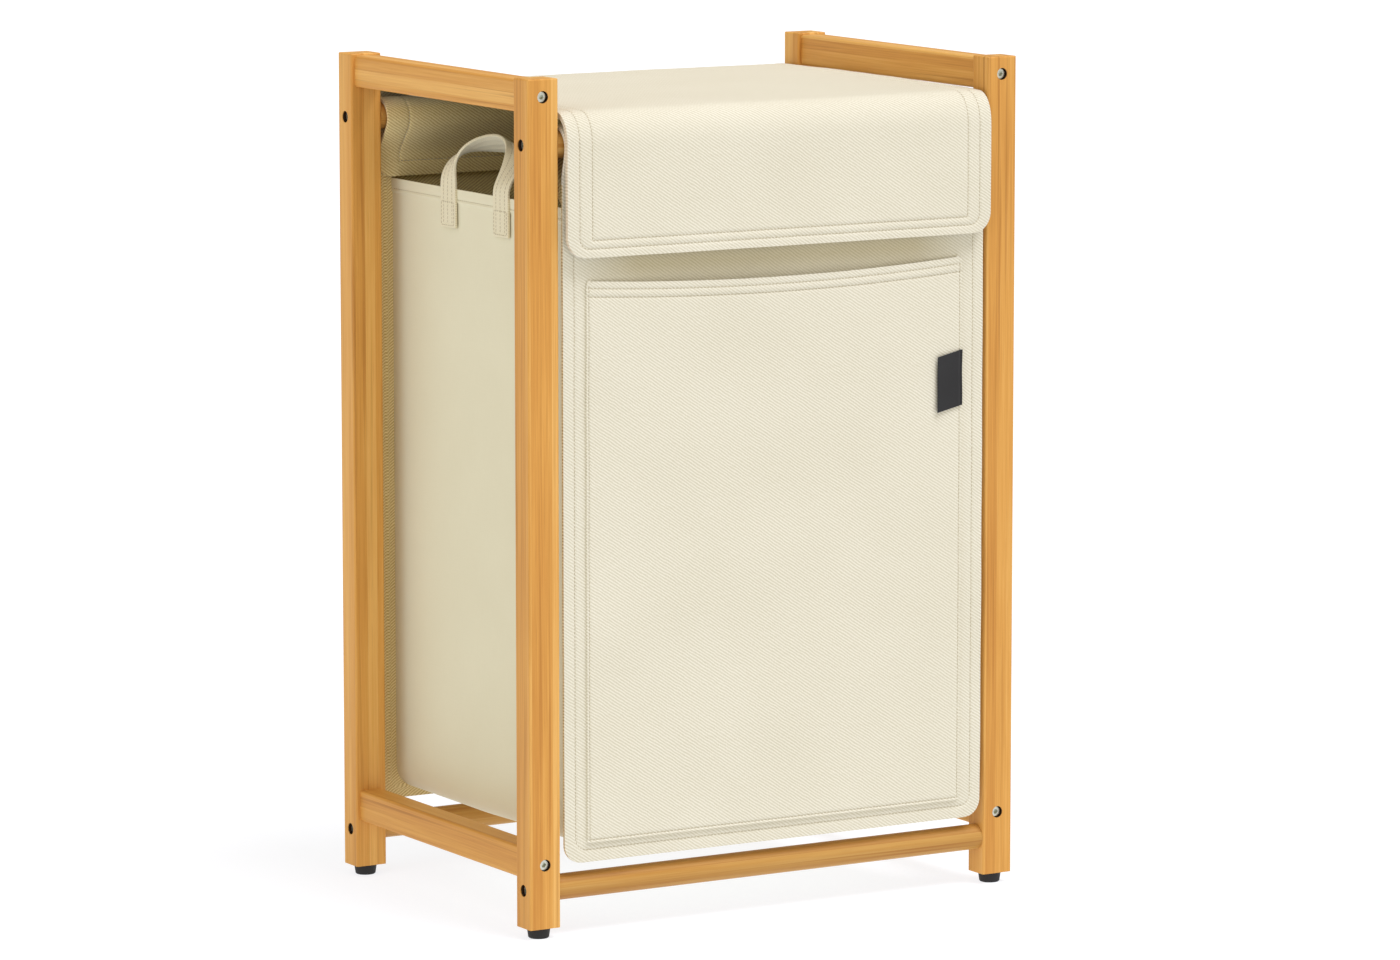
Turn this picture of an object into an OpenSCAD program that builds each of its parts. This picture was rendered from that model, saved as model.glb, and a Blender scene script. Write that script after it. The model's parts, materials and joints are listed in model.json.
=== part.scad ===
// Bamboo laundry hamper: two side frames joined by dowels, a canvas bag hung over
// the two top dowels, and a canvas lid that turns over the back dowel.
// Millimetres. X runs to the right, Y to the back, Z up; the feet stand on z = 0.

/* [Overall] */
// Width over the legs
overall_w = 480; // [400:5:600]
// Depth over the legs
overall_d = 332; // [290:2:420]
// Height of the leg tops above the floor
overall_h = 720; // [640:5:860]

/* [Side frames] */
// Leg size across the hamper
leg_w = 29; // [25:1:38]
// Leg size from front to back
leg_d = 24; // [20:1:32]
// Rounding of the leg edges
leg_ease = 1.6; // [0.8:0.2:3]
// Rail thickness across the hamper
rail_w = 22; // [16:1:25]
// Rail height
rail_h = 27; // [23:1:36]
// Rounding of the rail edges
rail_ease = 2.4; // [1:0.2:4]
// Top of the upper rails below the leg tops
rail_drop = 1.6; // [0:0.2:6]
// Centre of the lower rails above the floor
low_rail_z = 63; // [56:1:120]

/* [Dowels] */
// Diameter of the two dowels that carry the bag
top_dowel_d = 24; // [20:1:28]
// Diameter of the two lower dowels
low_dowel_d = 22; // [16:1:26]
// Axis of the top dowels below the leg tops
top_dowel_drop = 55; // [50:1:70]
// Axis of the lower dowels below the lower rail centre
low_dowel_drop = 22; // [18:1:26]

/* [Fasteners] */
// Shank diameter of the socket-head bolts
bolt_d = 5; // [4:1:6]
// Head diameter of the bolts
head_d = 8.5; // [7:0.5:10]
// Head height of the bolts
head_h = 5; // [4:0.5:6]
// Key size of the hexagon sockets
key_af = 4; // [3:1:5]
// Depth of the hexagon sockets
key_deep = 2.6; // [2:0.2:3.4]
// Diameter of the counterbores in the legs
sink_d = 10.2; // [10.1:0.1:12]
// Depth of the counterbores in the legs
sink_deep = 8; // [6.2:0.2:11]
// Radial play of the bolts in the legs
bolt_play = 0.3; // [0.1:0.1:0.6]
// Outer diameter of the threaded inserts
insert_d = 8; // [7.5:0.5:10]
// Length of the threaded inserts
insert_l = 16; // [12:1:20]
// How far a bolt tip runs past its insert
bolt_past = 3; // [1:1:6]
// Diameter of the locating pins in the rail joints
pin_d = 6; // [4:1:6]
// Length of the locating pins
pin_l = 24; // [16:2:30]
// Locating pins below the bolt axis
pin_drop = 8.6; // [8:0.1:9]

/* [Feet] */
// Foot diameter at the leg
foot_top_d = 20; // [16:1:22]
// Foot diameter at the floor
foot_low_d = 17.6; // [14:0.2:20]
// Foot height
foot_h = 9; // [7:0.5:14]
// Shank diameter of the foot screws
foot_screw_d = 3.6; // [3:0.2:4.4]
// Head diameter of the foot screws
foot_screw_head_d = 7.4; // [6:0.2:8]
// How far the foot screws run into the legs
foot_screw_l = 18; // [12:1:22]

/* [Bag] */
// Gap between the bag panels and the legs
panel_gap = 4; // [2:0.5:8]
// Thickness of the doubled canvas panels
canvas_t = 3; // [2:0.2:4]
// How far the panels stand proud of the legs
panel_proud = 0.5; // [0:0.1:1.5]
// Bottom edge of the panels above the floor
panel_low_z = 62; // [56:1:90]
// Corner radius of the panels
panel_corner = 16; // [8:1:24]
// Thickness of the canvas where it loops over the dowels
loop_t = 3.5; // [2.4:0.1:4]
// Slack between a dowel and the loop round it
loop_slack = 2.5; // [1:0.1:4]
// Height of the panels' bend into the loops
bend_h = 31; // [26:1:36]
// Lower edge of the loop tails below the dowel axis
tail_drop = 54; // [50:1:64]
// Corner radius of the loop tails
tail_corner = 14; // [6:1:20]
// Thickness of each half of the hook-and-loop tape
tape_t = 2; // [1:0.1:2.4]
// Height of the hook-and-loop tape
tape_h = 14; // [10:1:16]
// Tape ends in from the loop ends
tape_in = 36; // [20:1:60]
// Thickness of the gusset cloth
gusset_t = 1.6; // [1:0.1:2.4]
// Flange of the panels beyond the gusset at the sides
flange_side = 18; // [12:1:26]
// Flange of the panels below the gusset
flange_low = 8; // [6:1:20]
// Bend radius of the gusset at the bottom
gusset_bend = 22; // [14:1:34]
// Top edge of the gusset below the dowel axis
gusset_drop = 56; // [56:1:90]
// Height of the gusset's top hem
hem_h = 11; // [8:1:16]
// Extra thickness of the gusset's top hem
hem_t = 1.2; // [0.6:0.1:2]
// Thickness of the stiffening board in the bottom
board_t = 3; // [2:0.5:5]

/* [Pocket] */
// Pocket's left seam in from the panel edge
pocket_left_in = 21; // [16:1:60]
// Pocket's right seam in from the panel edge
pocket_right_in = 23; // [16:1:60]
// Pocket's bottom seam above the panel's bottom edge
pocket_low = 16.5; // [10:0.5:60]
// Pocket's mouth below the top dowel axis
pocket_drop = 114; // [112:1:300]
// Sag of the mouth at its middle
mouth_sag = 6; // [0:0.5:14]
// How far the mouth stands open at its middle
mouth_open = 8; // [8:0.5:16]
// Thickness of the pocket cloth
pocket_t = 2; // [1.2:0.1:3]
// Width of the plain side label
label_w = 27; // [16:1:40]
// Height of the plain side label
label_h = 48; // [20:1:70]
// Label centre below the pocket's mouth
label_drop = 104; // [60:1:160]
// Thickness of the label
label_t = 1; // [0.6:0.1:1.6]
// How far the label's loose end droops below its sewn end
label_droop = 5; // [0:0.5:10]

/* [Handles] */
// Width of the handle webbing
strap_w = 26; // [18:1:32]
// Thickness of the handle webbing
strap_t = 2; // [1.4:0.1:2.6]
// Distance between the two sewn ends of a handle
handle_span = 92; // [80:2:120]
// Middle of a handle behind the middle of the bag
handle_y = 12; // [-30:2:30]
// Rise of the webbing's middle above the sewn ends
handle_rise = 38; // [32:1:50]
// How far the top of a handle leans in over the bag
handle_in = 29; // [8:1:32]
// Share by which the front half of a handle leans in more than the rear half
handle_sway = 0.65; // [0:0.05:0.9]
// Fullness of a handle's shoulders
handle_fill = 0.3; // [0:0.05:0.4]
// Lean of the webbing's face at the top of a handle
handle_lean = 38; // [10:1:60]
// Length of the sewn ends
sewn_l = 32; // [24:1:50]

/* [Lid] */
// Gap between the lid and the legs at each side
lid_gap = 3; // [2:0.5:8]
// Thickness of the padded lid
lid_t = 11; // [6:0.5:12]
// Thickness of the lid's front flap
flap_t = 4; // [2.4:0.1:5]
// Bottom edge of the front flap below the dowel axis
flap_drop = 94; // [60:1:105]
// Corner radius of the front flap
flap_corner = 18; // [8:1:30]
// Clearance between the lid and the loops it lies on
lid_clear = 0.5; // [0.4:0.1:1]
// Clearance between the front flap and the front loop
flap_clear = 0.7; // [0.5:0.1:1.5]

/* [Hidden] */

$fn = 48;
cut = 1;                 // how far a cutter runs past the face it opens
nest = 0.05;             // play of a piece nested in the wood
lead = 1;                // straight run that squares the end of bent cloth
bamboo = "#d9a35a";
canvas = "#ece6d2";
lining = "#dcd3b5";
zinc = "silver";

leg_x = overall_w / 2 - leg_w / 2;
leg_y = overall_d / 2 - leg_d / 2;
rail_l = overall_d - 2 * leg_d;
dowel_l = overall_w - 2 * leg_w;
top_rail_z = overall_h - rail_drop - rail_h / 2;
top_dowel_z = overall_h - top_dowel_drop;
low_dowel_z = low_rail_z - low_dowel_drop;
bore_d = bolt_d + 2 * bolt_play;
insert_hole_d = insert_d + 2 * nest;
bolt_in_wood = insert_l + bolt_past;

panel_w = dowel_l - 2 * panel_gap;
panel_out = overall_d / 2 + panel_proud;
panel_in = panel_out - canvas_t;
loop_r_in = top_dowel_d / 2 + loop_slack;
loop_r_out = loop_r_in + loop_t;
// The loop hangs on its dowel, so its own centre lies lower by the slack
loop_z = top_dowel_z - loop_slack + 0.2;
bend_from_z = loop_z - bend_h;
tail_low_z = top_dowel_z - tail_drop;
tape_from_z = tail_low_z + 1;
tail_mid = panel_in - 2 * tape_t - loop_t / 2;
tape_w = panel_w - 2 * tape_in;

gusset_out = panel_w / 2 - flange_side;
gusset_low = panel_low_z + flange_low;
gusset_top = top_dowel_z - gusset_drop;
gusset_l = 2 * panel_in;

pocket_left = -panel_w / 2 + pocket_left_in;
pocket_right = panel_w / 2 - pocket_right_in;
pocket_low_z = panel_low_z + pocket_low;
pocket_top_z = top_dowel_z - pocket_drop;
pocket_mid = (pocket_left + pocket_right) / 2;
pocket_half = (pocket_right - pocket_left) / 2;
label_z = pocket_top_z - label_drop;

hem_out = gusset_out + hem_t;
strap_x = hem_out + 0.2 + strap_t / 2;
pivot_z = gusset_top + 1.5;
sewn_top = pivot_z - 3;
handle_from = 1.3;       // start of a loose handle above its hinge line

lid_w = dowel_l - 2 * lid_gap;
edge_t = 1;              // what is left of the padding at the lid's rear edge
lid_z = loop_z + loop_r_out + lid_clear;
lid_top_z = lid_z + lid_t;
flap_r_in = loop_r_out + flap_clear;
flap_out = leg_y + flap_r_in + flap_t;
fold_h = lid_top_z - loop_z;
flap_low_z = top_dowel_z - flap_drop;
hinge_y = flap_out;      // the lid reaches as far back as its flap stands forward

// ---- shared shapes ----

// Rectangle with round corners, centred
module round_rect(w, h, r) {
    square([w - 2 * r, h], center = true);
    square([w, h - 2 * r], center = true);
    for (x = [-1, 1], y = [-1, 1])
        translate([x * (w / 2 - r), y * (h / 2 - r)]) circle(r);
}

// Rectangle that stands on the X axis with two round lower corners
module round_bottom(w, h, r) {
    translate([-w / 2, r]) square([w, h - r]);
    translate([-w / 2 + r, 0]) square([w - 2 * r, r + cut / 10]);
    for (x = [-1, 1]) translate([x * (w / 2 - r), r]) circle(r);
}

function unit(v) = v / norm(v);
function tangent(path, i) =
    unit(path[min(i + 1, len(path) - 1)] - path[max(i - 1, 0)]);
function beside(path, side) =
    [for (i = [0:len(path) - 1])
        let (t = tangent(path, i)) path[i] + side * [t[1], -t[0]]];

// Band of even thickness along a path in the plane
module band(path, t) {
    outer = beside(path, t / 2);
    inner = beside(path, -t / 2);
    polygon(concat(outer, [for (i = [len(inner) - 1:-1:0]) inner[i]]));
}

// Turns a profile drawn as (distance forward or back, height) into a piece of width w
module across(w) {
    rotate([90, 0, 90]) linear_extrude(w, center = true) children();
}

// Puts a front outline drawn as (x, height) through the whole depth
module through_depth(depth) {
    rotate([90, 0, 0]) linear_extrude(depth, center = true) children();
}

function smooth(s) = (1 - cos(180 * s)) / 2;
function arc(centre, r, from, to, steps) =
    [for (i = [0:steps]) let (a = from + (to - from) * i / steps)
        centre + r * [cos(a), sin(a)]];
function bend(from, to, steps) =
    [for (i = [0:steps]) let (s = i / steps)
        [from[0] + (to[0] - from[0]) * smooth(s), from[1] + (to[1] - from[1]) * s]];

// ---- joints of the frame ----
// sx is -1 at the left and 1 at the right, sy is -1 at the front and 1 at the back.
// Local Z points out of the leg, from a point on its outer face.

module rail_joint(sx, sy, z) {
    translate([sx * leg_x, sy * overall_d / 2, z]) rotate([-90 * sy, 0, 0]) children();
}

module dowel_joint(sx, sy, z) {
    translate([sx * overall_w / 2, sy * leg_y, z]) rotate([0, 90 * sx, 0]) children();
}

// Counterbore and clearance bore for one bolt through wood of thickness web
module bolt_bore(web) {
    translate([0, 0, -sink_deep]) cylinder(d = sink_d, h = sink_deep + cut);
    translate([0, 0, -web - cut]) cylinder(d = bore_d, h = web + cut);
}

// Hole in the end of a rail or dowel for the insert and the bolt's tip
module insert_hole(web) {
    translate([0, 0, -web - insert_l]) cylinder(d = insert_hole_d, h = insert_l + cut);
    translate([0, 0, -web - bolt_in_wood - cut]) cylinder(d = bore_d, h = bolt_in_wood + cut);
}

// Hole for a locating pin, centred on the joint face
module pin_hole(web) {
    translate([0, 0, -web - pin_l / 2 - nest]) cylinder(d = pin_d + 2 * nest, h = pin_l + 2 * nest);
}

module bolt(web) {
    translate([0, 0, -sink_deep]) difference() {
        cylinder(d = head_d, h = head_h);
        translate([0, 0, head_h - key_deep])
            cylinder(d = key_af / cos(30), h = key_deep + cut, $fn = 6);
    }
    translate([0, 0, -web - bolt_in_wood])
        cylinder(d = bolt_d, h = web + bolt_in_wood - sink_deep);
}

module insert(web) {
    translate([0, 0, -web - insert_l]) difference() {
        cylinder(d = insert_d, h = insert_l);
        translate([0, 0, -cut]) cylinder(d = bolt_d + 2 * nest, h = insert_l + 2 * cut);
    }
}

// ---- bamboo frame ----

module leg(sx, sy) {
    stick = overall_h - foot_h;
    color(bamboo) difference() {
        translate([sx * leg_x, sy * leg_y, foot_h]) intersection() {
            linear_extrude(stick) round_rect(leg_w, leg_d, leg_ease);
            translate([0, 0, stick]) mirror([0, 0, 1])
                through_depth(2 * leg_d) round_bottom(leg_w, stick + leg_ease, leg_ease);
            translate([0, 0, stick]) mirror([0, 0, 1])
                across(2 * leg_w) round_bottom(leg_d, stick + leg_ease, leg_ease);
        }
        for (z = [top_rail_z, low_rail_z]) rail_joint(sx, sy, z) bolt_bore(leg_d);
        for (z = [top_rail_z, low_rail_z]) rail_joint(sx, sy, z - pin_drop) pin_hole(leg_d);
        for (z = [top_dowel_z, low_dowel_z]) dowel_joint(sx, sy, z) bolt_bore(leg_w);
        translate([sx * leg_x, sy * leg_y, foot_h - cut])
            cylinder(d = foot_screw_d + 2 * nest, h = foot_screw_l + cut + nest);
    }
}

module rail(sx, z) {
    color(bamboo) difference() {
        translate([sx * leg_x, 0, z]) through_depth(rail_l) round_rect(rail_w, rail_h, rail_ease);
        for (sy = [-1, 1]) {
            rail_joint(sx, sy, z) insert_hole(leg_d);
            rail_joint(sx, sy, z - pin_drop) pin_hole(leg_d);
        }
    }
}

module dowel(sy, z, d) {
    color(bamboo) difference() {
        translate([0, sy * leg_y, z]) rotate([0, 90, 0])
            cylinder(d = d, h = dowel_l, center = true);
        for (sx = [-1, 1]) dowel_joint(sx, sy, z) insert_hole(leg_w);
    }
}

module front_left_leg() { leg(-1, -1); }
module front_right_leg() { leg(1, -1); }
module rear_left_leg() { leg(-1, 1); }
module rear_right_leg() { leg(1, 1); }
module left_top_rail() { rail(-1, top_rail_z); }
module right_top_rail() { rail(1, top_rail_z); }
module left_bottom_rail() { rail(-1, low_rail_z); }
module right_bottom_rail() { rail(1, low_rail_z); }
module front_top_dowel() { dowel(-1, top_dowel_z, top_dowel_d); }
module rear_top_dowel() { dowel(1, top_dowel_z, top_dowel_d); }
module front_bottom_dowel() { dowel(-1, low_dowel_z, low_dowel_d); }
module rear_bottom_dowel() { dowel(1, low_dowel_z, low_dowel_d); }

// ---- fasteners and feet ----

module rail_bolts() {
    color(zinc) for (sx = [-1, 1], sy = [-1, 1], z = [top_rail_z, low_rail_z])
        rail_joint(sx, sy, z) bolt(leg_d);
}

module dowel_bolts() {
    color(zinc) for (sx = [-1, 1], sy = [-1, 1], z = [top_dowel_z, low_dowel_z])
        dowel_joint(sx, sy, z) bolt(leg_w);
}

module rail_inserts() {
    color(zinc) for (sx = [-1, 1], sy = [-1, 1], z = [top_rail_z, low_rail_z])
        rail_joint(sx, sy, z) insert(leg_d);
}

module dowel_inserts() {
    color(zinc) for (sx = [-1, 1], sy = [-1, 1], z = [top_dowel_z, low_dowel_z])
        dowel_joint(sx, sy, z) insert(leg_w);
}

module locating_pins() {
    color("burlywood") for (sx = [-1, 1], sy = [-1, 1], z = [top_rail_z, low_rail_z])
        rail_joint(sx, sy, z - pin_drop)
            translate([0, 0, -leg_d - pin_l / 2]) cylinder(d = pin_d, h = pin_l);
}

// Tapered glide with a recess below for its screw head
module foot(sx, sy) {
    recess_r = foot_screw_head_d / 2 + 0.5;
    color("#1d1d1d") translate([sx * leg_x, sy * leg_y, 0]) rotate_extrude()
        polygon([
            [recess_r, 0], [foot_low_d / 2 - 0.8, 0], [foot_low_d / 2, 0.8],
            [foot_top_d / 2, foot_h], [foot_screw_d / 2 + 0.3, foot_h],
            [foot_screw_d / 2 + 0.3, foot_h / 2], [recess_r, foot_h / 2]
        ]);
}

module front_left_foot() { foot(-1, -1); }
module front_right_foot() { foot(1, -1); }
module rear_left_foot() { foot(-1, 1); }
module rear_right_foot() { foot(1, 1); }

module foot_screws() {
    head_t = 2.2;
    color(zinc) for (sx = [-1, 1], sy = [-1, 1])
        translate([sx * leg_x, sy * leg_y, foot_h / 2 - head_t]) {
            cylinder(d = foot_screw_head_d, h = head_t);
            cylinder(d = foot_screw_d, h = head_t + foot_h / 2 + foot_screw_l);
        }
}

// ---- bag ----
// Panels and loops are drawn at the back and mirrored for the front.

module panel() {
    color(canvas) translate([0, (panel_in + panel_out) / 2, panel_low_z])
        through_depth(canvas_t) round_bottom(panel_w, bend_from_z - panel_low_z, panel_corner);
}

// Bend off the panel, half a turn over the dowel, and the tail inside the bag
function loop_path() =
    let (out = leg_y + loop_r_in + loop_t / 2, inn = leg_y - loop_r_in - loop_t / 2)
    concat(
        [[panel_out - loop_t / 2, bend_from_z]],
        bend([panel_out - loop_t / 2, bend_from_z + lead], [out, loop_z], 10),
        arc([leg_y, loop_z], loop_r_in + loop_t / 2, 10, 170, 16),
        bend([inn, loop_z], [tail_mid, tape_from_z + tape_h + 1], 10),
        [[tail_mid, tail_low_z]]
    );

module canvas_loop() {
    reach = loop_z + loop_r_out + cut - tail_low_z;
    front = leg_y - loop_r_out - cut;
    split = panel_in - tape_t;
    color(canvas) intersection() {
        across(panel_w) band(loop_path(), loop_t);
        union() {
            // The tail has round corners, and the bend behind it runs the full width
            translate([0, (front + split) / 2, tail_low_z])
                through_depth(split - front) round_bottom(panel_w, reach, tail_corner);
            translate([-panel_w / 2, split - cut, bend_from_z - cut])
                cube([panel_w, leg_y + loop_r_out + 2 * cut - split, reach]);
        }
    }
}

module tape(from) {
    color("#efeadb") translate([-tape_w / 2, from, tape_from_z]) cube([tape_w, tape_t, tape_h]);
}

module front_panel() { mirror([0, 1, 0]) panel(); }
module rear_panel() { panel(); }
module front_loop() { mirror([0, 1, 0]) canvas_loop(); }
module rear_loop() { canvas_loop(); }
module loop_tapes() { for (side = [0, 1]) mirror([0, side, 0]) tape(panel_in - tape_t); }
module hook_tapes() { for (side = [0, 1]) mirror([0, side, 0]) tape(panel_in - 2 * tape_t); }

// Side wall of the bag with its turned hem
module gusset_wall() {
    low = gusset_low + gusset_bend + lead;
    color(lining) {
        translate([gusset_out - gusset_t, -gusset_l / 2, low])
            cube([gusset_t, gusset_l, gusset_top - low]);
        translate([gusset_out - gusset_t / 2, -gusset_l / 2, gusset_top - hem_h])
            cube([gusset_t / 2 + hem_t, gusset_l, hem_h]);
    }
}

module left_gusset() { mirror([1, 0, 0]) gusset_wall(); }
module right_gusset() { gusset_wall(); }

// Floor of the bag with its two rounded corners
module bottom_gusset() {
    r = gusset_bend - gusset_t / 2;
    corner = [gusset_out - gusset_bend, gusset_low + gusset_bend];
    color(lining) through_depth(gusset_l)
        band(concat(
            [[-corner[0] - r, corner[1] + lead]],
            arc([-corner[0], corner[1]], r, 180, 270, 10),
            arc(corner, r, 270, 360, 10),
            [[corner[0] + r, corner[1] + lead]]
        ), gusset_t);
}

// Stiff board on the flat part of the floor
module bottom_board() {
    w = 2 * (gusset_out - gusset_bend);
    color("gray") translate([-w / 2, -gusset_l / 2 + 6, gusset_low + gusset_t + 0.2])
        cube([w, gusset_l - 12, board_t]);
}

// ---- pocket ----

// Share of the full opening at a place on the pocket, 0 along the three seams
function pocket_share(x, z) =
    (1 - pow((x - pocket_mid) / pocket_half, 2)) * (z - pocket_low_z) / (pocket_top_z - pocket_low_z);
function pocket_gap(x, z) = mouth_open * max(0, pocket_share(x, z));
function mouth_z(x) = pocket_top_z - mouth_sag * (1 - pow((x - pocket_mid) / pocket_half, 2));

// Sheet sewn down on three sides whose mouth stands open in a shallow curve
module front_pocket() {
    nx = 16;
    nz = 10;
    row = nx + 1;
    face = row * (nz + 1);
    function grid(lift) = [
        for (j = [0:nz], i = [0:nx])
            let (
                x = pocket_left + 2 * pocket_half * i / nx,
                z = pocket_low_z + (mouth_z(x) - pocket_low_z) * j / nz
            ) [x, -panel_out - pocket_gap(x, z) - lift, z]
    ];
    function rim(a, b) = [[a, b, b + face], [a, b + face, a + face]];
    color(canvas) polyhedron(
        points = concat(grid(0.05), grid(pocket_t)),
        faces = concat(
            [for (j = [0:nz - 1], i = [0:nx - 1]) let (p = j * row + i)
                each [[p, p + row, p + row + 1], [p, p + row + 1, p + 1]]],
            [for (j = [0:nz - 1], i = [0:nx - 1]) let (p = face + j * row + i)
                each [[p, p + row + 1, p + row], [p, p + 1, p + row + 1]]],
            [for (i = [0:nx - 1]) each rim(i, i + 1)],
            [for (i = [0:nx - 1]) let (p = nz * row) each rim(p + i + 1, p + i)],
            [for (j = [0:nz - 1]) each rim((j + 1) * row, j * row)],
            [for (j = [0:nz - 1]) each rim(j * row + nx, (j + 1) * row + nx)]
        )
    );
}

// Plain woven tab sewn into the pocket's right seam, drooping towards its loose end
module side_label() {
    top = label_z + label_h / 2;
    rise = pocket_gap(pocket_right - label_w, top);
    color("#141414") translate([pocket_right, -panel_out - pocket_t - 0.4, label_z])
        rotate([0, 0, atan(rise / label_w) + 0.6]) translate([0, -label_t / 2, 0])
            through_depth(label_t) polygon([
                [0, -label_h / 2], [0, label_h / 2],
                [-label_w, label_h / 2 - label_droop], [-label_w, -label_h / 2 - label_droop]
            ]);
}

// ---- handles ----
// Drawn at the right and mirrored for the left.

module handle_ends() {
    color(canvas) for (side = [-1, 1])
        translate([strap_x - strap_t / 2, handle_y + side * handle_span / 2 - strap_w / 2,
                   sewn_top - sewn_l])
            cube([strap_t, strap_w, sewn_l]);
}

// Middle of the webbing at angle a of the arch, 0 at its rear end and 180 at its front end
function strap_middle(a) = [
    strap_x - handle_in * pow(sin(a), 2) * (1 - handle_sway * cos(a)),
    handle_y + handle_span / 2 * cos(a) * (1 + handle_fill * pow(sin(a), 2)),
    pivot_z + handle_from + handle_rise * sin(a)
];

// Corners of the webbing's section at angle a of the arch: the webbing lies flat on the
// bag at its ends and twists on its way up, so that its face leans inwards at the top
function strap_corners(a) =
    let (
        out = [0, cos(a), sin(a)],
        mid = strap_middle(a),
        along = unit(strap_middle(a + 1) - strap_middle(a - 1)),
        level = unit(out - (out * along) * along),
        turn = 90 + (90 + handle_lean) * (1 - pow(abs(cos(a)), 1.7)),
        wide = cos(turn) * cross(level, along) + sin(turn) * level,
        thick = cross(wide, along)
    ) [for (c = [[-1, -1], [1, -1], [1, 1], [-1, 1]])
        mid + c[0] * strap_w / 2 * wide + c[1] * strap_t / 2 * thick];

module handle_loop() {
    steps = 28;
    last = 4 * steps;
    color(canvas) polyhedron(
        points = [for (i = [0:steps]) each strap_corners(180 * i / steps)],
        faces = concat(
            [[0, 1, 2, 3]],
            [for (i = [0:steps - 1], k = [0:3])
                let (p = 4 * i + k, q = 4 * i + (k + 1) % 4)
                each [[p, p + 4, q + 4], [p, q + 4, q]]],
            [[last + 3, last + 2, last + 1, last]]
        )
    );
}

module left_handle_ends() { mirror([1, 0, 0]) handle_ends(); }
module right_handle_ends() { handle_ends(); }
module left_handle() { mirror([1, 0, 0]) handle_loop(); }
module right_handle() { handle_loop(); }

// ---- lid ----

// Padded slab that rounds down to its hinge behind the rear loop
module lid_top() {
    steps = 12;
    color(canvas) across(lid_w) polygon(concat(
        [[hinge_y, lid_z], [0.4 - leg_y, lid_z], [0.4 - leg_y, lid_top_z]],
        [for (i = [0:steps]) let (a = 90 - 90 * i / steps)
            [leg_y + (hinge_y - leg_y) * cos(a), lid_z + edge_t + (lid_t - edge_t) * sin(a)]]
    ));
}

// Quarter bend over the front dowel and the sheet that hangs from it
module lid_front_flap() {
    steps = 14;
    fold = concat(
        [for (i = [0:steps]) let (a = 90 - 90 * i / steps)
            [leg_y + (flap_out - leg_y) * cos(a), loop_z + fold_h * sin(a)]],
        [[flap_out, flap_low_z], [flap_out - flap_t, flap_low_z]],
        arc([leg_y, loop_z], flap_r_in, 0, 90, steps)
    );
    color(canvas) mirror([0, 1, 0]) intersection() {
        across(lid_w) polygon(fold);
        translate([0, flap_out, flap_low_z])
            through_depth(2 * (flap_out - leg_y) + cut)
                round_bottom(lid_w, lid_top_z + cut - flap_low_z, flap_corner);
    }
}

// Turned-down rear edge of the lid, sewn round the back of the rear loop
module lid_rear_seam() {
    seam_t = 2;
    color(canvas) across(lid_w)
        band(arc([leg_y, loop_z], loop_r_out + 0.3 + seam_t / 2, -8, 48, 8), seam_t);
}

front_left_leg();
front_right_leg();
rear_left_leg();
rear_right_leg();
left_top_rail();
right_top_rail();
left_bottom_rail();
right_bottom_rail();
front_top_dowel();
rear_top_dowel();
front_bottom_dowel();
rear_bottom_dowel();
rail_bolts();
dowel_bolts();
rail_inserts();
dowel_inserts();
locating_pins();
front_left_foot();
front_right_foot();
rear_left_foot();
rear_right_foot();
foot_screws();
front_panel();
front_loop();
rear_panel();
rear_loop();
loop_tapes();
hook_tapes();
left_gusset();
right_gusset();
bottom_gusset();
bottom_board();
front_pocket();
side_label();
left_handle_ends();
left_handle();
right_handle_ends();
right_handle();
lid_top();
lid_front_flap();
lid_rear_seam();
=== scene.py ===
"""Looks for the bamboo laundry hamper: lacquered bamboo, sewn twill bag, webbing handles and canvas lid.

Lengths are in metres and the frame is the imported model's: X right, Y back, Z up, feet on z = 0.
Cloth is cut flat on a grid, then laid along a path that follows the solids of the frame.
"""

import json
import math

import bpy
import numpy as np
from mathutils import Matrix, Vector


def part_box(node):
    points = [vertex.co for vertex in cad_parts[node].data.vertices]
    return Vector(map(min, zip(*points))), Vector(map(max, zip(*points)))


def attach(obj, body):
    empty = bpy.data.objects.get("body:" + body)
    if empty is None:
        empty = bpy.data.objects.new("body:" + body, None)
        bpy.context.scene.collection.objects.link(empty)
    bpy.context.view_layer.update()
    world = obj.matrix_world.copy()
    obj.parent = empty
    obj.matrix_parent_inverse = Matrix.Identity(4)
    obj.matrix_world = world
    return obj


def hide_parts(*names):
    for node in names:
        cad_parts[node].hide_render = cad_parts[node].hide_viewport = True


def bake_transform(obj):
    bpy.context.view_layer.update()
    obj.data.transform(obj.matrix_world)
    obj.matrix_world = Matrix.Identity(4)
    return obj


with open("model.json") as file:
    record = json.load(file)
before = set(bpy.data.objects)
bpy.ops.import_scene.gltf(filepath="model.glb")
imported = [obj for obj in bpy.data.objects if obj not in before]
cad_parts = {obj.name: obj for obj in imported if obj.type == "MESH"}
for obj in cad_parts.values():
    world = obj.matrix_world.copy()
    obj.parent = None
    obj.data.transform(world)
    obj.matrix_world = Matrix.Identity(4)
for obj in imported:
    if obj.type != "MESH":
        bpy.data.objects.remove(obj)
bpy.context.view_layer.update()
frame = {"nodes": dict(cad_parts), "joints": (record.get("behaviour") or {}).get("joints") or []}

MM = 0.001

# ---- places read from the frame ----


def middle(node):
    low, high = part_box(node)
    return (low + high) / 2


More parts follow.
